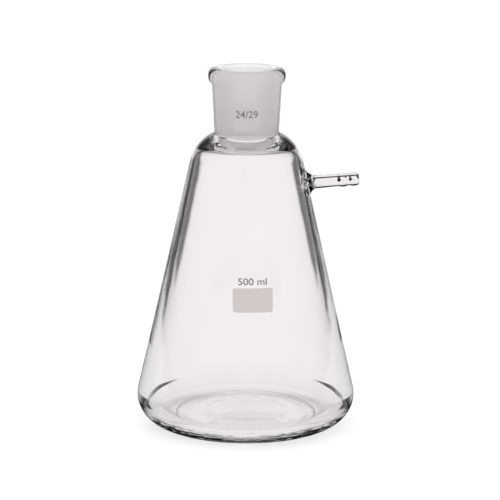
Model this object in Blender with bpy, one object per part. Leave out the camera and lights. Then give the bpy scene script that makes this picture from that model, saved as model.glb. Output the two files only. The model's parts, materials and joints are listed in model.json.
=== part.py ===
"""Conical filter flask, 500 ml, with a 24/29 ground socket and a side arm for vacuum hose.

Metres, +Z up. The origin is the centre of the foot ring, on the surface that the flask stands on.
The pieces are those that a glassblower joins: body, socket, side arm and enamel patch. Where two
are fused together on the real flask, their solids stop SEAM_GAP apart.
"""

import math

import bmesh
import bpy
from mathutils import Vector

SEAM_GAP = 0.0003

# Body, outside
HEIGHT = 0.1725  # foot to the top of the mouth
BASE_RADIUS = 0.0525
HEEL_RADIUS = 0.0138
SHOULDER_RADIUS = 0.020
SHOULDER_OFFSET = 0.0076  # from the axis to the centre of the shoulder's curve
NECK_FILLET_RADIUS = 0.0015
NECK_LENGTH = 0.0011  # straight part of the neck, under the socket

# Body, glass thickness
WALL = 0.0022  # where the inside leaves the shoulder
HEEL_WALL = 0.0055
BASE_THICKNESS = 0.0052
INNER_SHOULDER_RADIUS = 0.0105
INNER_HEEL_RADIUS = 0.0045
THROAT_DEPTH = 0.0075  # from the socket's lower end to the ceiling inside the shoulder
THROAT_LIP_RADIUS = 0.0012  # rounding where the bore opens into the body
FLOOR_DOME = 0.0016  # how far the middle of the floor inside rises
FOOT_WIDTH = 0.0045  # flat ring that the flask stands on
FOOT_STEP = 0.0004  # from the foot ring up to the rest of the underside
PUSH_UP = 0.0004  # how much higher the middle of the underside lies
PUSH_UP_RADIUS = 0.0190
PUSH_UP_EDGE = 0.0040  # width of the slope round the push-up

# Ground socket 24/29: a 24 mm bore at the mouth, and 29 mm of ground taper at 1 in 10
JOINT_BORE = 0.024
JOINT_LENGTH = 0.029
JOINT_TAPER = 0.1
SOCKET_WALL_TOP = 0.0047
SOCKET_WALL_END = 0.0050
BEAD_PROUD = 0.0018  # how far the mouth's bead stands out from the tube
BEAD_HEIGHT = 0.0074
BEAD_CROWN_HEIGHT = 0.0034  # from the bead's widest point up to the top
CROWN_SETBACK = 0.0030  # from the bore's wall to the middle of the flat ring on top of the mouth
CROWN_WIDTH = 0.0012
MOUTH_ROUNDING = 0.0012  # how far the rounded mouth reaches down into the bore

# Side arm
ARM_DROP = 0.0260  # from the socket's lower end to where the arm's axis meets the wall
ARM_RISE = math.radians(4.5)
ARM_REACH = 0.0244  # from the outside of the wall to the arm's tip
ARM_ROOT_RADIUS = 0.00325
ARM_NECK_RADIUS = 0.00295
ARM_BARB_RADIUS = 0.0034
ARM_TIP_RADIUS = 0.0033
ARM_BORE_RADIUS = 0.0016
ARM_END_WIDTH = 0.0006  # flat ring round the bore's outer end
BARB_START = 0.0106  # the next four are measured back from the tip
BARB_CREST = 0.0081
TIP_NECK = 0.0050
TIP_CREST = 0.0030
FLARE_HEIGHT = 0.0040  # how far the weld spreads over the wall
FLARE_LENGTH = 0.0042  # how far the weld reaches out along the tube
FLARE_SKIRT = 0.0030  # the flare before it is trimmed, past the point where the axis meets the wall
BORE_OVERRUN = 0.004

# Enamel write-on patch, on the front of the wall
PATCH_WIDTH = 0.0189
PATCH_HEIGHT = 0.0112
PATCH_CORNER = 0.0012
PATCH_THICKNESS = 0.0002
PATCH_CENTRE_HEIGHT = 0.0690
PATCH_TURN = math.radians(4.6)  # from straight ahead, towards the side arm

# Facets
BODY_STEPS = 48
ARM_STEPS = 24
ARC_STEPS = 6
EASE_STEPS = 4
PATCH_COLUMNS = 8

# Sizes that follow from the ones above
SOCKET_BOTTOM = HEIGHT - JOINT_LENGTH
NECK_BOTTOM = SOCKET_BOTTOM - NECK_LENGTH
ARM_HEIGHT = SOCKET_BOTTOM - ARM_DROP
JOINT_END_RADIUS = (JOINT_BORE - JOINT_TAPER * JOINT_LENGTH) / 2
SOCKET_END_RADIUS = JOINT_END_RADIUS + SOCKET_WALL_END
SOCKET_TOP_RADIUS = JOINT_BORE / 2 + SOCKET_WALL_TOP
FOOT_RADIUS = BASE_RADIUS - HEEL_RADIUS


# Profiles, as points (r, z)

def arc(centre, start, end, across, up=None, steps=ARC_STEPS):
    """Points round centre from start to end, in degrees: a circle, or an oval where up is given."""
    up = across if up is None else up
    angles = [math.radians(start + (end - start) * i / steps) for i in range(steps + 1)]
    return [(centre[0] + across * math.cos(a), centre[1] + up * math.sin(a)) for a in angles]


def eased(start, end, steps=EASE_STEPS):
    """Points from start to end that leave and arrive level in r, as a half wave."""
    points = []
    for i in range(1, steps + 1):
        share = i / steps
        rise = (1 - math.cos(math.pi * share)) / 2
        points.append((start[0] + (end[0] - start[0]) * rise, start[1] + (end[1] - start[1]) * share))
    return points


def shoulder_centre():
    """Centre of the shoulder's curve, whose height lets the curve touch the neck's fillet."""
    reach = SHOULDER_RADIUS + NECK_FILLET_RADIUS
    across = SOCKET_END_RADIUS + NECK_FILLET_RADIUS - SHOULDER_OFFSET
    return SHOULDER_OFFSET, NECK_BOTTOM - math.sqrt(reach ** 2 - across ** 2)


def wall_slope():
    """Angle between the axis and the wall, a straight line that touches the heel and the shoulder."""
    r, z = shoulder_centre()
    inwards, up = FOOT_RADIUS - r, z - HEEL_RADIUS
    return math.atan2(inwards, up) - math.asin((SHOULDER_RADIUS - HEEL_RADIUS) / math.hypot(inwards, up))


def cone_radius(height):
    """The wall's outer radius at a height, on the straight line that touches the heel's curve."""
    slope = wall_slope()
    touch_radius = FOOT_RADIUS + HEEL_RADIUS * math.cos(slope)
    touch_height = HEEL_RADIUS + HEEL_RADIUS * math.sin(slope)
    return touch_radius - (height - touch_height) * math.tan(slope)


def direction(start, end):
    """Angle of the line from one centre to another, in degrees."""
    return math.degrees(math.atan2(end[1] - start[1], end[0] - start[0]))


def outer_profile(grow=0.0):
    """The body's outside, from the foot up to the neck, moved outwards by grow."""
    slope = math.degrees(wall_slope())
    heel = (FOOT_RADIUS, HEEL_RADIUS)
    shoulder = shoulder_centre()
    fillet = (SOCKET_END_RADIUS + NECK_FILLET_RADIUS, NECK_BOTTOM)
    touch = direction(shoulder, fillet)
    return (
        arc(heel, -90, 0, HEEL_RADIUS + grow)
        + arc(heel, 0, slope, HEEL_RADIUS + grow, steps=1)[1:]
        + arc(shoulder, slope, touch, SHOULDER_RADIUS + grow)
        + arc(fillet, touch + 180, 180, NECK_FILLET_RADIUS - grow)[1:]
    )


def inside_touch(height, radius, wall):
    """Centre, at a height, of a curve that touches the inside of a wall of that thickness."""
    return cone_radius(height) - (wall + radius) / math.cos(wall_slope()), height


def inner_profile():
    """The body's inside, from the throat down to the middle of the base."""
    slope = math.degrees(wall_slope())
    ceiling = SOCKET_BOTTOM - THROAT_DEPTH
    lip = (JOINT_END_RADIUS + THROAT_LIP_RADIUS, ceiling + THROAT_LIP_RADIUS)
    shoulder = inside_touch(ceiling - INNER_SHOULDER_RADIUS, INNER_SHOULDER_RADIUS, WALL)
    heel = inside_touch(BASE_THICKNESS + INNER_HEEL_RADIUS, INNER_HEEL_RADIUS, HEEL_WALL)
    return (
        arc(lip, 180, 270, THROAT_LIP_RADIUS, steps=EASE_STEPS)
        + arc(shoulder, 90, slope, INNER_SHOULDER_RADIUS)
        + arc(heel, slope, -90, INNER_HEEL_RADIUS)
        + dome(heel[0], BASE_THICKNESS, FLOOR_DOME)
    )


def underside(edge_radius):
    """From the middle of the base out to the foot ring: the push-up, its slope, a flat and a step."""
    inner, outer = PUSH_UP_RADIUS - PUSH_UP_EDGE / 2, PUSH_UP_RADIUS + PUSH_UP_EDGE / 2
    top = FOOT_STEP + PUSH_UP
    slope = eased((top, inner), (FOOT_STEP, outer))
    return [(0.0, top), (inner, top)] + [(r, z) for z, r in slope] + [(edge_radius - FOOT_STEP, FOOT_STEP)]


def dome(edge_radius, edge_height, rise):
    """Points inwards from a round edge to the axis, as a half wave that is level at both ends."""
    points = []
    for i in range(1, ARC_STEPS + 1):
        share = i / ARC_STEPS
        wave = (1 - math.cos(math.pi * share)) / 2
        points.append((edge_radius * (1 - share), edge_height + rise * wave))
    return points


def body_profile():
    """From the middle of the underside, round the outside, over the seam and down the inside."""
    foot_inside = FOOT_RADIUS - FOOT_WIDTH
    seam = SOCKET_BOTTOM - SEAM_GAP
    return (
        underside(foot_inside)
        + [(foot_inside, 0.0)]
        + outer_profile()
        + [(SOCKET_END_RADIUS, seam), (JOINT_END_RADIUS, seam)]
        + inner_profile()
    )


def socket_profile():
    """From the outer edge of the seam up the tube, over the bead and down the ground bore."""
    widest = HEIGHT - BEAD_CROWN_HEIGHT
    bead_bottom = HEIGHT - BEAD_HEIGHT
    crown = JOINT_BORE / 2 + CROWN_SETBACK
    crown_out, crown_in = crown + CROWN_WIDTH / 2, crown - CROWN_WIDTH / 2
    bead_radius = SOCKET_TOP_RADIUS + BEAD_PROUD
    mouth = (JOINT_BORE - JOINT_TAPER * MOUTH_ROUNDING) / 2
    return (
        [(SOCKET_END_RADIUS, SOCKET_BOTTOM)]
        + arc((SOCKET_TOP_RADIUS, widest), -90, 0, BEAD_PROUD, widest - bead_bottom)
        + arc((crown_out, widest), 0, 90, bead_radius - crown_out, BEAD_CROWN_HEIGHT)[1:]
        + arc((crown_in, HEIGHT - MOUTH_ROUNDING), 90, 180, crown_in - mouth, MOUTH_ROUNDING)
        + [(JOINT_END_RADIUS, SOCKET_BOTTOM)]
    )


def arm_profile():
    """Along the arm's own axis, from its root (z below 0 lies inside the wall) to its tip and back."""
    waist = [
        (ARM_NECK_RADIUS, ARM_REACH - BARB_START),
        (ARM_BARB_RADIUS, ARM_REACH - BARB_CREST),
        (ARM_NECK_RADIUS, ARM_REACH - TIP_NECK),
        (ARM_TIP_RADIUS, ARM_REACH - TIP_CREST),
    ]
    flare = (ARM_ROOT_RADIUS + FLARE_HEIGHT, FLARE_LENGTH)
    points = [(flare[0] + FLARE_SKIRT / 2, -FLARE_SKIRT)]
    points += arc(flare, 270, 180, FLARE_HEIGHT, FLARE_LENGTH)
    points.append(waist[0])
    for start, end in zip(waist, waist[1:]):
        points += eased(start, end)
    end_ring = ARM_BORE_RADIUS + ARM_END_WIDTH
    tip = (end_ring, ARM_REACH - TIP_CREST)
    points += arc(tip, 0, 90, ARM_TIP_RADIUS - end_ring, TIP_CREST)[1:]
    return points + [(ARM_BORE_RADIUS, ARM_REACH), (ARM_BORE_RADIUS, -FLARE_SKIRT)]


# Meshes and objects

def clear_scene():
    for obj in list(bpy.data.objects):
        bpy.data.objects.remove(obj, do_unlink=True)


def make_material(name, colour, roughness, transmission=0.0):
    material = bpy.data.materials.new(name)
    material.use_nodes = True
    shader = material.node_tree.nodes["Principled BSDF"]
    shader.inputs["Base Color"].default_value = (*colour, 1.0)
    shader.inputs["Roughness"].default_value = roughness
    shader.inputs["Metallic"].default_value = 0.0
    shader.inputs["Transmission Weight"].default_value = transmission
    shader.inputs["IOR"].default_value = 1.473
    return material


def add_object(name, mesh, material):
    obj = bpy.data.objects.new(name, mesh)
    bpy.context.scene.collection.objects.link(obj)
    mesh.materials.append(material)
    mesh.shade_smooth()
    mesh.set_sharp_from_angle(angle=math.radians(40))
    return obj


def turned(name, profile, steps, material):
    """A solid of revolution about Z. The profile closes on itself, or starts and ends on the axis."""
    mesh = bpy.data.meshes.new(name)
    bm = bmesh.new()
    points = [bm.verts.new((r, 0.0, z)) for r, z in profile]
    pairs = list(zip(points, points[1:]))
    if profile[0][0] > 0:
        pairs.append((points[-1], points[0]))
    edges = [bm.edges.new(pair) for pair in pairs]
    bmesh.ops.spin(bm, geom=points + edges, cent=(0, 0, 0), axis=(0, 0, 1), angle=math.tau, steps=steps)
    bmesh.ops.remove_doubles(bm, verts=bm.verts, dist=1e-6)
    bmesh.ops.recalc_face_normals(bm, faces=bm.faces)
    bm.to_mesh(mesh)
    bm.free()
    return add_object(name, mesh, material)


def as_cutter(obj):
    obj.hide_render = True
    obj.display_type = "WIRE"
    return obj


def cut(obj, cutter):
    modifier = obj.modifiers.new(f"cut_{cutter.name}", "BOOLEAN")
    modifier.operation = "DIFFERENCE"
    modifier.solver = "EXACT"
    modifier.object = cutter


def place_on_arm_axis(obj):
    """Turns an object's +Z to the arm's direction and puts its origin where the axis meets the wall."""
    obj.location = (cone_radius(ARM_HEIGHT), 0.0, ARM_HEIGHT)
    obj.rotation_euler = (0.0, math.pi / 2 - ARM_RISE, 0.0)


def build_body(glass):
    return turned("flask_body", body_profile(), BODY_STEPS, glass)


def build_socket(glass):
    return turned("ground_socket", socket_profile(), BODY_STEPS, glass)


def build_side_arm(glass, body):
    """The arm, trimmed SEAM_GAP off the wall, and its bore drilled on through the wall."""
    arm = turned("side_arm", arm_profile(), ARM_STEPS, glass)
    place_on_arm_axis(arm)
    envelope = [(0.0, -SEAM_GAP)] + outer_profile(SEAM_GAP) + [(0.0, NECK_BOTTOM)]
    cut(arm, as_cutter(turned("wall_envelope", envelope, BODY_STEPS, glass)))
    inside = -(HEEL_WALL + BORE_OVERRUN)
    rod = [(0.0, inside), (ARM_BORE_RADIUS, inside), (ARM_BORE_RADIUS, BORE_OVERRUN), (0.0, BORE_OVERRUN)]
    drill = as_cutter(turned("arm_drill", rod, ARM_STEPS, glass))
    place_on_arm_axis(drill)
    cut(body, drill)
    return arm


def patch_point(across, along, off):
    """A point on the front wall: across it, up its slope from the patch's centre, and off it."""
    slope = wall_slope()
    height = PATCH_CENTRE_HEIGHT + along * math.cos(slope)
    radius = cone_radius(height) + off * math.cos(slope)
    turn = PATCH_TURN + across / cone_radius(PATCH_CENTRE_HEIGHT)
    return Vector((radius * math.sin(turn), -radius * math.cos(turn), height + off * math.sin(slope)))


def build_patch(enamel):
    """A rounded rectangle bent round the wall, made as a row of four-sided sections with end caps."""
    half_width, half_height = PATCH_WIDTH / 2, PATCH_HEIGHT / 2
    straight = half_width - PATCH_CORNER
    corner = [math.sin(math.radians(90 * i / EASE_STEPS)) for i in range(1, EASE_STEPS + 1)]
    right = [straight + PATCH_CORNER * s for s in corner]
    middle = [-straight + 2 * straight * i / PATCH_COLUMNS for i in range(PATCH_COLUMNS + 1)]
    bm = bmesh.new()
    sections = []
    for across in [-x for x in reversed(right)] + middle + right:
        past = max(0.0, abs(across) - straight)
        top = half_height - PATCH_CORNER + math.sqrt(max(0.0, PATCH_CORNER ** 2 - past ** 2))
        corners = ((-top, SEAM_GAP), (top, SEAM_GAP), (top, SEAM_GAP + PATCH_THICKNESS),
                   (-top, SEAM_GAP + PATCH_THICKNESS))
        sections.append([bm.verts.new(patch_point(across, along, off)) for along, off in corners])
    for here, there in zip(sections, sections[1:]):
        for i in range(4):
            bm.faces.new((here[i], here[(i + 1) % 4], there[(i + 1) % 4], there[i]))
    bm.faces.new(sections[0])
    bm.faces.new(sections[-1])
    bmesh.ops.recalc_face_normals(bm, faces=bm.faces)
    mesh = bpy.data.meshes.new("marking_patch")
    bm.to_mesh(mesh)
    bm.free()
    return add_object("marking_patch", mesh, enamel)


def main():
    clear_scene()
    glass = make_material("borosilicate_glass", (0.97, 0.98, 0.97), 0.0, transmission=1.0)
    ground = make_material("ground_glass", (0.90, 0.88, 0.88), 0.45, transmission=0.8)
    enamel = make_material("enamel", (0.62, 0.57, 0.56), 0.6)
    body = build_body(glass)
    build_socket(ground)
    build_side_arm(glass, body)
    build_patch(enamel)


main()
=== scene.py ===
"""Looks of the 500 ml filter flask: heavy clear glass, a ground socket, fired enamel marks and a white stage.

Metres, +Z up, in the frame of the CAD part. The flask's front faces -Y and its side arm +X. Each glass
piece is a closed mesh. Where two are fused, both end in the same face, which is fully transparent, so
light crosses from one to the other as it does in one piece of glass.
"""

import json
import math

import bmesh
import bpy
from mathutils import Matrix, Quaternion, Vector


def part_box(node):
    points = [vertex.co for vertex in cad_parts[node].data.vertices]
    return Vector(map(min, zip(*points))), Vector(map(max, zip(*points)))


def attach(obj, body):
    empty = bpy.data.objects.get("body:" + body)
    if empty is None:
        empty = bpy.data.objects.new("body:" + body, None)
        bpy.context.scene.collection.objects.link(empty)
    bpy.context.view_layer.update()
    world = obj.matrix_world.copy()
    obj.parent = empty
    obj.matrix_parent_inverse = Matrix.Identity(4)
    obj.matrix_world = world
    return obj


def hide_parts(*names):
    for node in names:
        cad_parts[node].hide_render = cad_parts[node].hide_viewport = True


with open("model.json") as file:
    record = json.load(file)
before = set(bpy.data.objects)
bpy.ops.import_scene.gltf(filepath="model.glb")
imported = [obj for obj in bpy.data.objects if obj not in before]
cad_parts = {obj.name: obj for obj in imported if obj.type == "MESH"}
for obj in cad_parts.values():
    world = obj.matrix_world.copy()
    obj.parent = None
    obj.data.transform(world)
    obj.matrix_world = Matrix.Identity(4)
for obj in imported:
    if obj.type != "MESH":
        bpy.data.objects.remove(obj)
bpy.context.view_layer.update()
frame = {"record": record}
MOUNTS = {mount["name"]: mount for mount in frame["record"]["mounts"]}

# Places taken from the frame
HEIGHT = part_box("ground_socket")[1].z
SEAM_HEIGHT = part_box("ground_socket")[0].z
BASE_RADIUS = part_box("flask_body")[1].x
ARM_TIP = Vector((MOUNTS["hose_end"]["pos_m"][0], 0.0, MOUNTS["hose_end"]["pos_m"][2]))
ARM_DIRECTION = Vector(MOUNTS["hose_end"]["axis"]).normalized()
PATCH_LOW, PATCH_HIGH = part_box("marking_patch")

# Body
HEEL_RADIUS = 0.0138
SHOULDER_RADIUS = 0.020
SHOULDER_OFFSET = 0.0076
NECK_FILLET_RADIUS = 0.0015
NECK_LENGTH = 0.0011
WALL = 0.0022  # at the shoulder
HEEL_WALL = 0.0055
INNER_SHOULDER_RADIUS = 0.0105
THROAT_DEPTH = 0.0075  # from the socket down to the ceiling inside the shoulder
BASE_THICKNESS = 0.0052
INNER_HEEL_RADIUS = 0.0045
THROAT_LIP_RADIUS = 0.0012
FLOOR_DOME = 0.0016
FOOT_WIDTH = 0.0045
FOOT_STEP = 0.0004  # from the foot ring up to the underside
PUSH_UP = 0.0003  # the raised middle of the underside, above the rest of it
PUSH_UP_RADIUS = 0.0190
PUSH_UP_EDGE = 0.0040

# Socket
JOINT_BORE = 0.024
JOINT_LENGTH = HEIGHT - SEAM_HEIGHT
JOINT_TAPER = 0.1
SOCKET_WALL_TOP = 0.0047
SOCKET_WALL_END = 0.0050
BEAD_PROUD = 0.0018
BEAD_HEIGHT = 0.0074
BEAD_CROWN_HEIGHT = 0.0034
CROWN_SETBACK = 0.0030
CROWN_WIDTH = 0.0012
MOUTH_ROUNDING = 0.0012

# Side arm, along its own axis from the wall
ARM_REACH = 0.0244
ARM_ROOT_RADIUS = 0.00325
ARM_NECK_RADIUS = 0.00295
ARM_BARB_RADIUS = 0.0034
ARM_TIP_RADIUS = 0.0033
ARM_BORE_RADIUS = 0.0016
ARM_END_WIDTH = 0.0006
BARB_START = 0.0106
BARB_CREST = 0.0081
TIP_NECK = 0.0050
TIP_CREST = 0.0030
FLARE_HEIGHT = 0.0040
FLARE_LENGTH = 0.0042

# Marks
MARK_OFFSET = 0.00005
MARK_THICKNESS = 0.00008
PATCH_TURN = math.radians(4.6)
PATCH_WIDTH = 0.0189
PATCH_CORNER = 0.0012
VOLUME_TEXT_HEIGHT = 0.0032
VOLUME_TEXT_WIDTH = 0.0135
VOLUME_TEXT_BASE = 0.0761
VOLUME_TEXT_TURN = math.radians(4.5)
JOINT_TEXT_HEIGHT = 0.0033
JOINT_TEXT_WIDTH = 0.0107
JOINT_TEXT_BASE = 0.1509
FONT_THICKNESS = 0.01  # of the flat outline, before it is scaled
FONT_WEIGHT = 0.012

# Glass, frost and enamel
GLASS_IOR = 1.473
GLASS_TINT = (0.985, 0.967, 0.969)
GROUND_TINT = (0.98, 0.955, 0.955)
GROUND_ROUGHNESS = 0.6
GROUND_TRANSMISSION = 0.3  # the frost scatters the rest
GROUND_IOR = 1.1
PATCH_COLOUR = (0.63, 0.58, 0.57)
INK_COLOUR = (0.22, 0.21, 0.21)
ENAMEL_ROUGHNESS = 0.6
TUBE_GRAIN = (140.0, 0.0, 0.00004)  # grains to the metre, their share of the colour and gloss, their depth
GROUND_GRAIN = (1400.0, 0.03, 0.00004)
PATCH_GRAIN = (1600.0, 0.05, 0.00002)
PRINT_GRAIN = (2400.0, 0.20, 0.00002)
GRAIN_DETAIL = 3.0
GRAIN_RANGE = (0.3, 0.7)  # of the noise, from the glossiest to the dullest

# Uneven glass. A noise is its grains to the metre and its detail; a pair is where a thing begins and is full
WAVE_NOISE = (60.0, 1.0)
WAVE_DEPTH = 0.00010
MOTTLE_NOISE = (350.0, 2.0)
MOTTLE_DEPTH = 0.00003
MOTTLE_RADII = (0.038, 0.044)
# Painted shade: dark green to brown blotches painted on the front of the heel, clear in the middle
PAINTED_HEEL_SHADE_GREEN = (0.002, 0.012, 0.008)
PAINTED_HEEL_SHADE_BROWN = (0.006, 0.002, 0.002)
PAINTED_SHADE_BROWN_START = (0.024, 0.032)  # to the side, where green turns to brown
PAINTED_HEEL_SHADE_TOP = 0.0030  # height of the painted shade on the heel straight ahead
PAINTED_HEEL_SHADE_RISE = 0.12  # how much higher it reaches for each metre to the side
PAINTED_HEEL_SHADE_BLUR = 0.0015
PAINTED_HEEL_SHADE_RADII = (0.0395, 0.042)
PAINTED_HEEL_SHADE_GAP = (0.003, 0.007)  # to either side of the middle, which stays clear
PAINTED_HEEL_SHADE_FRONT = (0.0, -0.012)
PAINTED_SHADE_BLOTCH_NOISE = (260.0, 4.0)
PAINTED_SHADE_BLOTCH_EDGE = (0.40, 0.55)
# Painted shade: dark colour painted into the ticks moulded under the foot, which are also bumped
PAINTED_TICK_SHADE = (0.10, 0.08, 0.08)
TICK_COUNT = 110
TICK_RADIUS = 0.0332
TICK_LENGTH = 0.0014
TICK_DEPTH = 0.00020
TICK_WAVE = (0.2, 0.6)
TICK_FULL = 0.6  # share of a tick's length with its full depth
TICK_TOP = (0.0025, 0.002)

# Stage, as levels of light that a ray through the glass sees
CARD_COUNT = 8  # white cards standing round the flask, with dark gaps between
CARD_EDGE = 0.10  # cosine of the card's half width, in its own eighth of the turn
CARD_BLUR = 0.30
GAP_LEVEL = 0.02
CEILING_START = 0.26  # sine of the height above the horizon where the cards begin to end
CEILING_FULL = 0.50
PAPER_HALF_WIDTH = 0.125  # white paper laid on the bench towards each card
PAPER_BLUR = 0.02
REFLECTED_NEAR = 0.30  # the bench out to here is bright to light that turns back inside the glass
REFLECTED_FAR = 0.45
SIDE_LEVEL = 0.03  # what the glass reflects from either side and from the front
SIDE_START = 0.96  # cosine of the angle from straight behind, where the bright part begins to fall off
SIDE_FULL = 0.84
BEHIND_LEVEL = 0.90
SCATTERED_LEVEL = 1.0
BENCH_RADIUS = 4.0
BENCH_GAP = 0.0002
BENCH_GREY = 0.4
BENCH_LIFT = 0.7
LIGHT_BOUNCES = 24
GLOSSY_BOUNCES = 12

# Camera
CAMERA_DISTANCE = 1.100
CAMERA_ELEVATION = math.radians(12.3)
CAMERA_ROLL = math.radians(0.275)
CAMERA_LENS = 165
CAMERA_AIM = Vector((0.00185, 0.0, 0.0843))

# Facets
TURN_STEPS = 256
ARC_STEPS = 16
WINDOW_STEPS = 13  # half the width of the arm's window in the wall, in steps of the turn
WINDOW_ROWS = 12
WINDOW_HALF_HEIGHT = 0.0088
RING_CROWDING = 1.3  # how much the rings in the window gather round the hole

NECK_BOTTOM = SEAM_HEIGHT - NECK_LENGTH
JOINT_END_RADIUS = (JOINT_BORE - JOINT_TAPER * JOINT_LENGTH) / 2
SOCKET_END_RADIUS = JOINT_END_RADIUS + SOCKET_WALL_END
SOCKET_TOP_RADIUS = JOINT_BORE / 2 + SOCKET_WALL_TOP
FOOT_RADIUS = BASE_RADIUS - HEEL_RADIUS
ARM_ROOT = ARM_TIP - ARM_REACH * ARM_DIRECTION
ARM_SIDE = Vector((0.0, 1.0, 0.0))
ARM_UP = ARM_DIRECTION.cross(ARM_SIDE)


# Profiles, as points (r, z)

def arc(centre, start, end, across, up=None, steps=ARC_STEPS):
    """Points round centre from start to end, in degrees: a circle, or an oval where up is given."""
    up = across if up is None else up
    angles = [math.radians(start + (end - start) * i / steps) for i in range(steps + 1)]
    return [(centre[0] + across * math.cos(a), centre[1] + up * math.sin(a)) for a in angles]


def eased(start, end, steps=ARC_STEPS):
    """Points from start to end that leave and arrive level in r, as a half wave."""
    points = []
    for i in range(1, steps + 1):
        share = i / steps
        rise = (1 - math.cos(math.pi * share)) / 2
        points.append((start[0] + (end[0] - start[0]) * rise, start[1] + (end[1] - start[1]) * share))
    return points


def dome(edge_radius, edge_height, rise, steps=ARC_STEPS):
    """Points inwards from a round edge to the axis, as a half wave that is level at both ends."""
    points = []
    for i in range(1, steps + 1):
        share = i / steps
        wave = (1 - math.cos(math.pi * share)) / 2
        points.append((edge_radius * (1 - share), edge_height + rise * wave))
    return points


def underside(edge_radius):
    """From the middle of the base out to the foot ring: a raised disc, a flat and the foot's inner side."""
    inner, outer = PUSH_UP_RADIUS - PUSH_UP_EDGE / 2, PUSH_UP_RADIUS + PUSH_UP_EDGE / 2
    top, flat = FOOT_STEP + PUSH_UP, FOOT_STEP
    points = [(0.0, top), (inner, top)]
    for i in range(1, ARC_STEPS + 1):
        share = i / ARC_STEPS
        fall = (1 - math.cos(math.pi * share)) / 2
        points.append((inner + (outer - inner) * share, top + (flat - top) * fall))
    return points + [(edge_radius - FOOT_STEP, flat), (edge_radius - FOOT_STEP / 3, flat * 0.7)]


def shoulder_centre():
    reach = SHOULDER_RADIUS + NECK_FILLET_RADIUS
    across = SOCKET_END_RADIUS + NECK_FILLET_RADIUS - SHOULDER_OFFSET
    return SHOULDER_OFFSET, NECK_BOTTOM - math.sqrt(reach ** 2 - across ** 2)


def wall_slope():
    r, z = shoulder_centre()
    inwards, up = FOOT_RADIUS - r, z - HEEL_RADIUS
    return math.atan2(inwards, up) - math.asin((SHOULDER_RADIUS - HEEL_RADIUS) / math.hypot(inwards, up))


SLOPE = wall_slope()


def cone_radius(height):
    touch_radius = FOOT_RADIUS + HEEL_RADIUS * math.cos(SLOPE)
    touch_height = HEEL_RADIUS + HEEL_RADIUS * math.sin(SLOPE)
    return touch_radius - (height - touch_height) * math.tan(SLOPE)


def direction(start, end):
    return math.degrees(math.atan2(end[1] - start[1], end[0] - start[0]))


def window_rows(low, high):
    """Points down or up a straight wall from low to high, with rows for the arm's window."""
    def at(z):
        share = (z - low[1]) / (high[1] - low[1])
        return (low[0] + (high[0] - low[0]) * share, z)
    bottom = ARM_ROOT.z - WINDOW_HALF_HEIGHT
    heights = [bottom + 2 * WINDOW_HALF_HEIGHT * i / WINDOW_ROWS for i in range(WINDOW_ROWS + 1)]
    return [at(z) for z in heights]


def outer_parts():
    """The body's outside from the foot up, in three runs: below, beside and above the arm's window."""
    slope = math.degrees(SLOPE)
    heel = (FOOT_RADIUS, HEEL_RADIUS)
    shoulder = shoulder_centre()
    fillet = (SOCKET_END_RADIUS + NECK_FILLET_RADIUS, NECK_BOTTOM)
    touch = direction(shoulder, fillet)
    below = arc(heel, -90, slope, HEEL_RADIUS)
    above = arc(shoulder, slope, touch, SHOULDER_RADIUS)
    above += arc(fillet, touch + 180, 180, NECK_FILLET_RADIUS)[1:]
    return below, window_rows(below[-1], above[0]), above


def inner_parts():
    """The body's inside from the throat down, in three runs: above, beside and below the arm's window."""
    slope = math.degrees(SLOPE)
    ceiling = SEAM_HEIGHT - THROAT_DEPTH
    lip = (JOINT_END_RADIUS + THROAT_LIP_RADIUS, ceiling + THROAT_LIP_RADIUS)
    shoulder = inside_touch(ceiling - INNER_SHOULDER_RADIUS, INNER_SHOULDER_RADIUS, WALL)
    heel = inside_touch(BASE_THICKNESS + INNER_HEEL_RADIUS, INNER_HEEL_RADIUS, HEEL_WALL)
    above = arc(lip, 180, 270, THROAT_LIP_RADIUS)
    above += arc(shoulder, 90, slope, INNER_SHOULDER_RADIUS)
    below = arc(heel, slope, -90, INNER_HEEL_RADIUS) + dome(heel[0], BASE_THICKNESS, FLOOR_DOME)
    return above, window_rows(below[0], above[-1])[::-1], below


def inside_touch(height, radius, wall):
    """Centre, at a height, of a curve that touches the inside of a wall of that thickness."""
    return cone_radius(height) - (wall + radius) / math.cos(SLOPE), height


def socket_profile():
    """From the outer edge of the seam up the tube, over the bead and down to the top of the bore."""
    widest = HEIGHT - BEAD_CROWN_HEIGHT
    bead_bottom = HEIGHT - BEAD_HEIGHT
    crown = JOINT_BORE / 2 + CROWN_SETBACK
    crown_out, crown_in = crown + CROWN_WIDTH / 2, crown - CROWN_WIDTH / 2
    bead_radius = SOCKET_TOP_RADIUS + BEAD_PROUD
    mouth = (JOINT_BORE - JOINT_TAPER * MOUTH_ROUNDING) / 2
    return (
        [(SOCKET_END_RADIUS, SEAM_HEIGHT)]
        + arc((SOCKET_TOP_RADIUS, widest), -90, 0, BEAD_PROUD, widest - bead_bottom)
        + arc((crown_out, widest), 0, 90, bead_radius - crown_out, BEAD_CROWN_HEIGHT)[1:]
        + arc((crown_in, HEIGHT - MOUTH_ROUNDING), 90, 180, crown_in - mouth, MOUTH_ROUNDING)
    )


# Meshes

def ring(bm, radius, height):
    if radius < 1e-6:
        return [bm.verts.new((0.0, 0.0, height))]
    turns = [math.tau * i / TURN_STEPS for i in range(TURN_STEPS)]
    return [bm.verts.new((radius * math.cos(a), radius * math.sin(a), height)) for a in turns]


def bridge(bm, low, high, slot=0, leave_out=()):
    """Faces between two closed rings, or between a ring and a point, except at the steps left out."""
    count = max(len(low), len(high))
    for i in range(count):
        if i in leave_out:
            continue
        j = (i + 1) % count
        corners = [low[i % len(low)], low[j % len(low)], high[j % len(high)], high[i % len(high)]]
        face = bm.faces.new(list(dict.fromkeys(corners)))
        face.material_index = slot
        face.smooth = True


def loft(bm, rings, slot=0):
    for low, high in zip(rings, rings[1:]):
        bridge(bm, low, high, slot)


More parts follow.
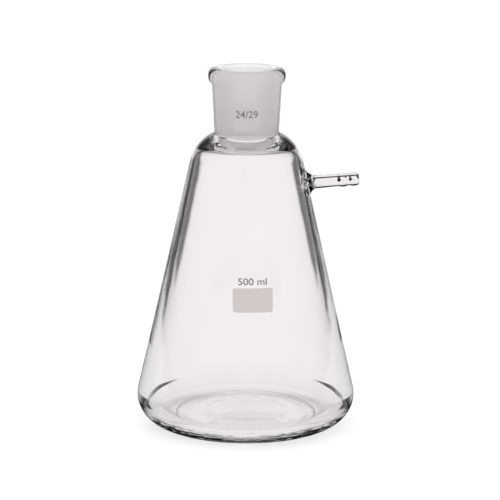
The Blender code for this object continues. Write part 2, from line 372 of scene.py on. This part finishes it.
def finish_mesh(name, bm, materials, sharp=40):
    bmesh.ops.recalc_face_normals(bm, faces=bm.faces)
    mesh = bpy.data.meshes.new(name)
    bm.to_mesh(mesh)
    bm.free()
    for material in materials:
        mesh.materials.append(material)
    mesh.set_sharp_from_angle(angle=math.radians(sharp))
    obj = bpy.data.objects.new(name, mesh)
    bpy.context.scene.collection.objects.link(obj)
    return obj


def on_wall(turn, radius, wall):
    """Where a line along the arm, at an angle and radius round its axis, meets a wall of given radii."""
    start = ARM_ROOT + radius * (math.cos(turn) * ARM_SIDE + math.sin(turn) * ARM_UP)
    along = 0.0
    for _ in range(30):
        point = start + along * ARM_DIRECTION
        along -= math.hypot(point.x, point.y) - wall(point.z)
    return along


def arm_point(turn, radius, along):
    return ARM_ROOT + radius * (math.cos(turn) * ARM_SIDE + math.sin(turn) * ARM_UP) + along * ARM_DIRECTION


def straight_wall(rows):
    (r0, z0), (r1, z1) = rows[0], rows[-1]
    return lambda z: r0 + (r1 - r0) * (z - z0) / (z1 - z0)


def window_loop(rows):
    """The vertices round the window's edge, in order, from the full rings of its rows."""
    steps = [i % TURN_STEPS for i in range(-WINDOW_STEPS, WINDOW_STEPS + 1)]
    bottom, top = rows[0], rows[-1]
    loop = [bottom[i] for i in steps]
    loop += [row[steps[-1]] for row in rows[1:-1]]
    loop += [top[i] for i in reversed(steps)]
    loop += [row[steps[0]] for row in reversed(rows[1:-1])]
    return loop


def window_rings(bm, edge, hole, wall, count=5):
    """Rings on the wall between a round hole and the window's edge."""
    rings = [hole]
    for step in range(1, count):
        share = (step / count) ** RING_CROWDING
        row = []
        for inner, outer in zip(hole, edge):
            a, b = (math.atan2(v.co.y, v.co.x) for v in (inner, outer))
            a = a * (1 - share) + b * share
            z = inner.co.z * (1 - share) + outer.co.z * share
            row.append(bm.verts.new((wall(z) * math.cos(a), wall(z) * math.sin(a), z)))
        rings.append(row)
    return rings + [edge]


def arm_turns(edge):
    """Angles round the arm's axis of the vertices on the window's edge."""
    return [math.atan2((v.co - ARM_ROOT).dot(ARM_UP), (v.co - ARM_ROOT).dot(ARM_SIDE)) for v in edge]


def root_rings(bm, turns, wall, count=4):
    """Rings on the wall under the weld, from its outer edge to the bore."""
    edge = ARM_ROOT_RADIUS + FLARE_HEIGHT
    radii = [edge + (ARM_BORE_RADIUS - edge) * i / count for i in range(count + 1)]
    return [[bm.verts.new(arm_point(t, r, on_wall(t, r, wall))) for t in turns] for r in radii]


def build_body(glass, seam, ground):
    bm = bmesh.new()
    below, beside, above = outer_parts()
    outer_wall = straight_wall(beside)
    foot_inside = FOOT_RADIUS - FOOT_WIDTH
    start = underside(foot_inside) + [(foot_inside, 0.0)] + below
    start = [ring(bm, *point) for point in start]
    rows = [ring(bm, *point) for point in beside]
    end = [ring(bm, *point) for point in above + [(SOCKET_END_RADIUS, SEAM_HEIGHT)]]
    in_above, in_beside, in_below = inner_parts()
    inner_wall = straight_wall(in_beside)
    throat = [ring(bm, *point) for point in [(JOINT_END_RADIUS, SEAM_HEIGHT)] + in_above]
    in_rows = [ring(bm, *point) for point in in_beside]
    floor = [ring(bm, *point) for point in in_below]
    window = {i % TURN_STEPS for i in range(-WINDOW_STEPS, WINDOW_STEPS)}
    loft(bm, start + rows[:1])
    for low, high in zip(rows, rows[1:]):
        bridge(bm, low, high, leave_out=window)
    loft(bm, rows[-1:] + end)
    bridge(bm, end[-1], throat[0], slot=1)
    loft(bm, throat[:ARC_STEPS // 2], slot=2)
    loft(bm, throat[ARC_STEPS // 2 - 1:] + in_rows[:1])
    for low, high in zip(in_rows, in_rows[1:]):
        bridge(bm, low, high, leave_out=window)
    loft(bm, in_rows[-1:] + floor)

    edge = window_loop(rows)
    turns = arm_turns(edge)
    root = root_rings(bm, turns, outer_wall)
    loft(bm, window_rings(bm, edge, root[0], outer_wall))
    loft(bm, root, slot=1)
    in_edge = window_loop(in_rows[::-1])
    in_hole = [
        bm.verts.new(arm_point(t, ARM_BORE_RADIUS, on_wall(t, ARM_BORE_RADIUS, inner_wall))) for t in turns
    ]
    bridge(bm, root[-1], in_hole)
    loft(bm, window_rings(bm, in_edge, in_hole, inner_wall))
    body = finish_mesh("body_glass", bm, [glass, seam, ground])
    return body, turns, outer_wall


def build_socket(glass, ground, seam):
    bm = bmesh.new()
    outside = [ring(bm, *point) for point in socket_profile()]
    bottom = ring(bm, JOINT_END_RADIUS, SEAM_HEIGHT)
    loft(bm, outside)
    bridge(bm, outside[-1], bottom, slot=1)
    bridge(bm, bottom, outside[0], slot=2)
    return finish_mesh("socket_glass", bm, [glass, ground, seam])


def build_arm(glass, seam, turns, wall):
    bm = bmesh.new()
    root = root_rings(bm, turns, wall)
    rings = [root[0]]
    flare = arc((ARM_ROOT_RADIUS + FLARE_HEIGHT, FLARE_LENGTH), 270, 180, FLARE_HEIGHT, FLARE_LENGTH)
    for radius, along in flare[1:]:
        sunk = 1 - along / FLARE_LENGTH
        rings.append([
            bm.verts.new(arm_point(t, radius, along + sunk * on_wall(t, radius, wall))) for t in turns
        ])
    waist = [
        (ARM_NECK_RADIUS, ARM_REACH - BARB_START),
        (ARM_BARB_RADIUS, ARM_REACH - BARB_CREST),
        (ARM_NECK_RADIUS, ARM_REACH - TIP_NECK),
        (ARM_TIP_RADIUS, ARM_REACH - TIP_CREST),
    ]
    tube = [waist[0]]
    for start, stop in zip(waist, waist[1:]):
        tube += eased(start, stop, steps=10)
    end_ring = ARM_BORE_RADIUS + ARM_END_WIDTH
    tube += arc((end_ring, ARM_REACH - TIP_CREST), 0, 90, ARM_TIP_RADIUS - end_ring, TIP_CREST)[1:]
    tube.append((ARM_BORE_RADIUS, ARM_REACH))
    rings += [[bm.verts.new(arm_point(t, radius, along)) for t in turns] for radius, along in tube]
    loft(bm, rings)
    bridge(bm, rings[-1], root[-1])
    loft(bm, root, slot=1)
    return finish_mesh("side_arm_glass", bm, [glass, seam])


def wrapped(across, up, base, turn, off):
    """A point of a flat mark bent onto the outside: across it, up it from a height, and off the glass."""
    if base < SEAM_HEIGHT:
        radius, slope = cone_radius(base + up * math.cos(SLOPE)), SLOPE
    else:
        radius, slope = SOCKET_END_RADIUS + socket_lean() * (base + up - SEAM_HEIGHT), 0.0
    radius += off
    angle = turn + across / radius
    return Vector((radius * math.sin(angle), -radius * math.cos(angle), base + up * math.cos(slope)))


def socket_lean():
    """How much the socket's outside widens for each metre up to the bead."""
    return (SOCKET_TOP_RADIUS - SOCKET_END_RADIUS) / (HEIGHT - BEAD_HEIGHT - SEAM_HEIGHT)


def build_text(name, words, height, width, base, turn, ink):
    """Words fired onto the glass: a font outline scaled to its size, bent round the flask."""
    curve = bpy.data.curves.new(name, "FONT")
    curve.body = words
    curve.extrude = FONT_THICKNESS
    curve.offset = FONT_WEIGHT
    curve.resolution_u = 6
    flat = bpy.data.objects.new(name, curve)
    bpy.context.scene.collection.objects.link(flat)
    mesh = bpy.data.meshes.new_from_object(flat.evaluated_get(bpy.context.evaluated_depsgraph_get()))
    bpy.data.objects.remove(flat)
    bm = bmesh.new()
    bm.from_mesh(mesh)
    bmesh.ops.remove_doubles(bm, verts=bm.verts, dist=1e-5)
    xs = [v.co.x for v in bm.verts]
    digits = max(v.co.y for v in bm.verts)
    for v in bm.verts:
        across = ((v.co.x - min(xs)) / (max(xs) - min(xs)) - 0.5) * width
        off = MARK_OFFSET + (MARK_THICKNESS if v.co.z > 0 else 0.0)
        v.co = wrapped(across, v.co.y / digits * height, base, turn, off)
    return finish_mesh(name, bm, [ink])


def build_patch(enamel):
    """The write-on patch: a rounded rectangle bent round the wall, as a row of four-sided sections."""
    half_height = (PATCH_HIGH.z - PATCH_LOW.z) / 2 / math.cos(SLOPE)
    centre = (PATCH_HIGH.z + PATCH_LOW.z) / 2
    half_width = PATCH_WIDTH / 2
    straight = half_width - PATCH_CORNER
    corner = [math.sin(math.radians(90 * i / 10)) for i in range(1, 11)]
    right = [straight + PATCH_CORNER * s for s in corner]
    middle = [-straight + 2 * straight * i / 24 for i in range(25)]
    bm = bmesh.new()
    sections = []
    for across in [-x for x in reversed(right)] + middle + right:
        past = max(0.0, abs(across) - straight)
        top = half_height - PATCH_CORNER + math.sqrt(max(0.0, PATCH_CORNER ** 2 - past ** 2))
        near, far = MARK_OFFSET, MARK_OFFSET + MARK_THICKNESS
        corners = ((-top, near), (top, near), (top, far), (-top, far))
        sections.append([
            bm.verts.new(wrapped(across, up, centre, PATCH_TURN, off)) for up, off in corners
        ])
    for here, there in zip(sections, sections[1:]):
        for i in range(4):
            bm.faces.new((here[i], here[(i + 1) % 4], there[(i + 1) % 4], there[i]))
    bm.faces.new(sections[0])
    bm.faces.new(sections[-1])
    for face in bm.faces:
        face.smooth = True
    return finish_mesh("write_on_patch", bm, [enamel])


# Shader nodes

def new_material(name):
    material = bpy.data.materials.new(name)
    material.use_nodes = True
    return material, material.node_tree.nodes, material.node_tree.links


def math_node(nodes, links, operation, first, second=None):
    node = nodes.new("ShaderNodeMath")
    node.operation = operation
    for socket, value in zip(node.inputs, (first, second)):
        if value is None:
            continue
        if isinstance(value, (int, float)):
            socket.default_value = value
        else:
            links.new(value, socket)
    return node.outputs[0]


def product(nodes, links, *values):
    result = values[0]
    for value in values[1:]:
        result = math_node(nodes, links, "MULTIPLY", result, value)
    return result


def smooth_step(nodes, links, value, low, high, to_low=0.0, to_high=1.0):
    node = nodes.new("ShaderNodeMapRange")
    node.interpolation_type = "SMOOTHSTEP"
    links.new(value, node.inputs["Value"])
    node.inputs["From Min"].default_value = low
    node.inputs["From Max"].default_value = high
    node.inputs["To Min"].default_value = to_low
    node.inputs["To Max"].default_value = to_high
    return node.outputs["Result"]


def blend(nodes, links, kind, share, first, second):
    """A blend of two numbers (FLOAT) or two colours (RGBA), each given as a value or a socket."""
    node = nodes.new("ShaderNodeMix")
    node.data_type = kind
    for name, value in (("Factor", share), ("A", first), ("B", second)):
        if isinstance(value, bpy.types.NodeSocket):
            links.new(value, node.inputs[name])
        else:
            node.inputs[name].default_value = value
    return node.outputs["Result"]


def noise(nodes, links, place, scale, detail):
    node = nodes.new("ShaderNodeTexNoise")
    node.inputs["Scale"].default_value = scale
    node.inputs["Detail"].default_value = detail
    links.new(place, node.inputs["Vector"])
    return node.outputs["Fac"]


def add_bump(nodes, links, height, distance):
    bump = nodes.new("ShaderNodeBump")
    bump.inputs["Distance"].default_value = distance
    links.new(height, bump.inputs["Height"])
    links.new(bump.outputs["Normal"], nodes["Principled BSDF"].inputs["Normal"])


def separate(nodes, links, place):
    split = nodes.new("ShaderNodeSeparateXYZ")
    links.new(place, split.inputs[0])
    return [split.outputs[axis] for axis in "XYZ"]


def from_axis(nodes, links, x, y):
    """How far a place is from the flask's axis."""
    squares = [product(nodes, links, part, part) for part in (x, y)]
    return math_node(nodes, links, "SQRT", math_node(nodes, links, "ADD", *squares))


# Materials

def glass_material(name, tint, roughness=0.0, transmission=1.0, ior=GLASS_IOR):
    material, nodes, _ = new_material(name)
    shader = nodes["Principled BSDF"]
    shader.inputs["Base Color"].default_value = (*tint, 1.0)
    shader.inputs["Roughness"].default_value = roughness
    shader.inputs["IOR"].default_value = ior
    shader.inputs["Transmission Weight"].default_value = transmission
    return material


def enamel_material(name, colour):
    material, nodes, _ = new_material(name)
    shader = nodes["Principled BSDF"]
    shader.inputs["Base Color"].default_value = (*colour, 1.0)
    shader.inputs["Roughness"].default_value = ENAMEL_ROUGHNESS
    return material


def seam_material():
    material, nodes, links = new_material("fused_seam")
    nodes.remove(nodes["Principled BSDF"])
    clear = nodes.new("ShaderNodeBsdfTransparent")
    links.new(clear.outputs[0], nodes["Material Output"].inputs["Surface"])
    return material


def add_waves(material):
    """Uneven glass: slow waves all over, a mottled heel with painted shade on its front, and a ring of small
    ticks under the foot with painted shade in them.
    """
    nodes, links = material.node_tree.nodes, material.node_tree.links
    colour = nodes["Principled BSDF"].inputs["Base Color"]
    place = nodes.new("ShaderNodeTexCoord").outputs["Object"]
    x, y, z = separate(nodes, links, place)
    radius = from_axis(nodes, links, x, y)
    heel = product(
        nodes, links,
        smooth_step(nodes, links, z, HEEL_RADIUS, HEEL_RADIUS / 3),
        smooth_step(nodes, links, radius, *MOTTLE_RADII),
    )
    mottle = product(nodes, links, noise(nodes, links, place, *MOTTLE_NOISE), heel, MOTTLE_DEPTH)
    waves = product(nodes, links, noise(nodes, links, place, *WAVE_NOISE), WAVE_DEPTH)
    ticks = tick_marks(nodes, links, x, y, z, radius)
    height = math_node(nodes, links, "ADD", mottle, waves)
    height = math_node(nodes, links, "ADD", height, product(nodes, links, ticks, TICK_DEPTH))
    add_bump(nodes, links, height, 1.0)
    # painted shade on the front of the heel, mixed into the glass colour
    share, painted_shade_hue = painted_heel_shade(nodes, links, place, x, y, z, radius)
    tint = blend(nodes, links, "RGBA", share, tuple(colour.default_value), painted_shade_hue)
    # painted shade in the moulded ticks
    links.new(blend(nodes, links, "RGBA", ticks, tint, (*PAINTED_TICK_SHADE, 1.0)), colour)


def tick_marks(nodes, links, x, y, z, radius):
    """One on each of the ticks moulded under the foot, and nothing between them."""
    turn = product(nodes, links, math_node(nodes, links, "ARCTAN2", y, x), float(TICK_COUNT))
    tick = smooth_step(nodes, links, math_node(nodes, links, "COSINE", turn), *TICK_WAVE)
    away = math_node(nodes, links, "ABSOLUTE", math_node(nodes, links, "SUBTRACT", radius, TICK_RADIUS))
    near = smooth_step(nodes, links, away, TICK_LENGTH / 2, TICK_LENGTH / 2 * TICK_FULL)
    return product(nodes, links, tick, near, smooth_step(nodes, links, z, *TICK_TOP))


def painted_heel_shade(nodes, links, place, x, y, z, radius):
    """Painted shade: how dark the front of the heel is painted, in blotches that reach higher at the sides,
    and its green to brown hue.
    """
    aside = math_node(nodes, links, "ABSOLUTE", x)
    rise = product(nodes, links, aside, PAINTED_HEEL_SHADE_RISE)
    depth = math_node(nodes, links, "SUBTRACT", math_node(nodes, links, "ADD", rise, PAINTED_HEEL_SHADE_TOP), z)
    share = smooth_step(nodes, links, depth, 0.0, PAINTED_HEEL_SHADE_BLUR)
    for value, limits in ((radius, PAINTED_HEEL_SHADE_RADII), (aside, PAINTED_HEEL_SHADE_GAP), (y, PAINTED_HEEL_SHADE_FRONT)):
        share = product(nodes, links, share, smooth_step(nodes, links, value, *limits))
    painted_shade_blotches = smooth_step(nodes, links, noise(nodes, links, place, *PAINTED_SHADE_BLOTCH_NOISE), *PAINTED_SHADE_BLOTCH_EDGE)
    brown = smooth_step(nodes, links, aside, *PAINTED_SHADE_BROWN_START)
    painted_shade_hue = blend(nodes, links, "RGBA", brown, (*PAINTED_HEEL_SHADE_GREEN, 1.0), (*PAINTED_HEEL_SHADE_BROWN, 1.0))
    return product(nodes, links, share, painted_shade_blotches), painted_shade_hue


def add_grain(material, scale, share, depth):
    """Fine unevenness in a surface's colour, gloss and height; the material itself is returned."""
    nodes, links = material.node_tree.nodes, material.node_tree.links
    shader = nodes["Principled BSDF"]
    grain = noise(nodes, links, nodes.new("ShaderNodeTexCoord").outputs["Object"], scale, GRAIN_DETAIL)
    if share:
        colour = shader.inputs["Base Color"].default_value[:3]
        dark, light = ([min(1.0, part * level) for part in colour] for level in (1 - share, 1 + share))
        links.new(
            blend(nodes, links, "RGBA", grain, (*dark, 1.0), (*light, 1.0)), shader.inputs["Base Color"]
        )
        rough = shader.inputs["Roughness"].default_value
        gloss = (rough * (1 - share), min(1.0, rough * (1 + share)))
        links.new(smooth_step(nodes, links, grain, *GRAIN_RANGE, *gloss), shader.inputs["Roughness"])
    add_bump(nodes, links, grain, depth)
    return material


# Stage

def card_pattern(nodes, links, x, y):
    """White towards each card, dark between."""
    azimuth = math_node(nodes, links, "ARCTAN2", y, x)
    wave = math_node(nodes, links, "COSINE", product(nodes, links, azimuth, float(CARD_COUNT)))
    return smooth_step(nodes, links, wave, CARD_EDGE - CARD_BLUR, CARD_EDGE + CARD_BLUR, GAP_LEVEL, 1.0)


def paper_pattern(nodes, links, x, y, distance):
    """White on strips of paper that run from the flask's foot towards each card, dark between."""
    sector = math.tau / CARD_COUNT
    sectors = product(nodes, links, math_node(nodes, links, "ARCTAN2", y, x), 1 / sector)
    off = math_node(nodes, links, "SUBTRACT", sectors, math_node(nodes, links, "ROUND", sectors))
    turn = math_node(nodes, links, "SINE", product(nodes, links, off, sector))
    aside = product(nodes, links, distance, math_node(nodes, links, "ABSOLUTE", turn))
    edge, core = PAPER_HALF_WIDTH + PAPER_BLUR, PAPER_HALF_WIDTH - PAPER_BLUR
    return smooth_step(nodes, links, aside, edge, core, GAP_LEVEL, 1.0)


def glass_paths(nodes, links):
    """Whether a ray comes through or off the glass, and whether it was reflected, scattered or in it."""
    path = nodes.new("ShaderNodeLightPath").outputs
    through = math_node(nodes, links, "MAXIMUM", path["Is Glossy Ray"], path["Is Transmission Ray"])
    depths = ("Glossy Depth", "Diffuse Depth", "Transmission Depth")
    return through, *(math_node(nodes, links, "MINIMUM", path[name], 1.0) for name in depths)


def seen_level(nodes, links, straight, reflected_view, reflected, scattered):
    """The level that a ray through the glass sees, by how it came."""
    level = blend(nodes, links, "FLOAT", reflected, straight, reflected_view)
    return blend(nodes, links, "FLOAT", scattered, level, SCATTERED_LEVEL)


def build_world():
    world = bpy.data.worlds.new("studio")
    bpy.context.scene.world = world
    world.use_nodes = True
    nodes, links = world.node_tree.nodes, world.node_tree.links
    through, reflected, scattered, _ = glass_paths(nodes, links)
    x, y, z = separate(nodes, links, nodes.new("ShaderNodeTexCoord").outputs["Generated"])
    below = smooth_step(nodes, links, z, CEILING_START, CEILING_FULL, 1.0, GAP_LEVEL)
    straight = product(nodes, links, card_pattern(nodes, links, x, y), below)
    behind = smooth_step(nodes, links, y, SIDE_FULL, SIDE_START, SIDE_LEVEL, BEHIND_LEVEL)
    reflected_view = product(nodes, links, behind, below)
    level = seen_level(nodes, links, straight, reflected_view, reflected, scattered)
    links.new(blend(nodes, links, "FLOAT", through, 1.0, level), nodes["Background"].inputs["Strength"])
    nodes["Background"].inputs["Color"].default_value = (1.0, 1.0, 1.0, 1.0)


def bench_level(nodes, links, reflected, scattered, inside):
    """What a ray through the glass sees of the bench."""
    x, y, _ = separate(nodes, links, nodes.new("ShaderNodeNewGeometry").outputs["Position"])
    distance = from_axis(nodes, links, x, y)
    cards = card_pattern(nodes, links, x, y)
    straight = math_node(nodes, links, "MAXIMUM", cards, paper_pattern(nodes, links, x, y, distance))
    forward = math_node(nodes, links, "DIVIDE", y, distance)
    behind = smooth_step(nodes, links, forward, SIDE_FULL, SIDE_START, SIDE_LEVEL, BEHIND_LEVEL)
    near = smooth_step(nodes, links, distance, REFLECTED_FAR, REFLECTED_NEAR)
    near = product(nodes, links, near, inside)
    reflected_view = blend(nodes, links, "FLOAT", near, behind, BEHIND_LEVEL)
    return seen_level(nodes, links, straight, reflected_view, reflected, scattered)


def bench_material():
    material, nodes, links = new_material("white_bench")
    nodes.remove(nodes["Principled BSDF"])
    through, *how = glass_paths(nodes, links)
    glow = nodes.new("ShaderNodeEmission")
    links.new(bench_level(nodes, links, *how), glow.inputs["Strength"])
    matt = nodes.new("ShaderNodeBsdfDiffuse")
    matt.inputs["Color"].default_value = (BENCH_GREY, BENCH_GREY, BENCH_GREY, 1.0)
    lift = nodes.new("ShaderNodeEmission")
    lift.inputs["Strength"].default_value = BENCH_LIFT
    lit = nodes.new("ShaderNodeAddShader")
    links.new(matt.outputs[0], lit.inputs[0])
    links.new(lift.outputs[0], lit.inputs[1])
    mix = nodes.new("ShaderNodeMixShader")
    links.new(through, mix.inputs["Fac"])
    links.new(lit.outputs[0], mix.inputs[1])
    links.new(glow.outputs[0], mix.inputs[2])
    links.new(mix.outputs[0], nodes["Material Output"].inputs["Surface"])
    return material


def build_floor():
    bm = bmesh.new()
    bmesh.ops.create_circle(bm, cap_ends=True, segments=64, radius=BENCH_RADIUS)
    mesh = bpy.data.meshes.new("bench")
    bm.to_mesh(mesh)
    bm.free()
    floor = bpy.data.objects.new("bench", mesh)
    floor.location.z = -BENCH_GAP
    bpy.context.scene.collection.objects.link(floor)
    mesh.materials.append(bench_material())


def build_camera():
    data = bpy.data.cameras.new("camera")
    data.lens = CAMERA_LENS
    camera = bpy.data.objects.new("camera", data)
    bpy.context.scene.collection.objects.link(camera)
    back = Vector((0.0, -math.cos(CAMERA_ELEVATION), math.sin(CAMERA_ELEVATION)))
    camera.location = Vector((0.0, 0.0, HEIGHT / 2)) + CAMERA_DISTANCE * back
    camera.rotation_mode = "QUATERNION"
    aim = (CAMERA_AIM - camera.location).to_track_quat("-Z", "Y")
    camera.rotation_quaternion = aim @ Quaternion((0.0, 0.0, 1.0), CAMERA_ROLL)
    bpy.context.scene.camera = camera


def show(piece, nodes):
    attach(piece, "root")
    if nodes:
        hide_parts(*nodes)


def main():
    bpy.context.scene.view_settings.view_transform = "Standard"
    bpy.context.scene.cycles.max_bounces = LIGHT_BOUNCES
    bpy.context.scene.cycles.transmission_bounces = LIGHT_BOUNCES
    bpy.context.scene.cycles.glossy_bounces = GLOSSY_BOUNCES
    glass = glass_material("clear_glass", GLASS_TINT)
    add_waves(glass)
    plain_glass = add_grain(glass_material("tube_glass", GLASS_TINT), *TUBE_GRAIN)
    ground = glass_material("ground_bore", GROUND_TINT, GROUND_ROUGHNESS, GROUND_TRANSMISSION, GROUND_IOR)
    add_grain(ground, *GROUND_GRAIN)
    seam = seam_material()
    enamel = add_grain(enamel_material("patch_enamel", PATCH_COLOUR), *PATCH_GRAIN)
    ink = add_grain(enamel_material("print_enamel", INK_COLOUR), *PRINT_GRAIN)
    body, turns, wall = build_body(glass, seam, ground)
    show(body, ["flask_body"])
    show(build_socket(plain_glass, ground, seam), ["ground_socket"])
    show(build_arm(plain_glass, seam, turns, wall), ["side_arm"])
    show(build_patch(enamel), ["marking_patch"])
    volume = build_text(
        "volume_mark", "500 ml", VOLUME_TEXT_HEIGHT, VOLUME_TEXT_WIDTH, VOLUME_TEXT_BASE, VOLUME_TEXT_TURN, ink
    )
    show(volume, [])
    joint = build_text("joint_mark", "24/29", JOINT_TEXT_HEIGHT, JOINT_TEXT_WIDTH, JOINT_TEXT_BASE, 0.0, ink)
    show(joint, [])
    build_world()
    build_floor()
    build_camera()


main()
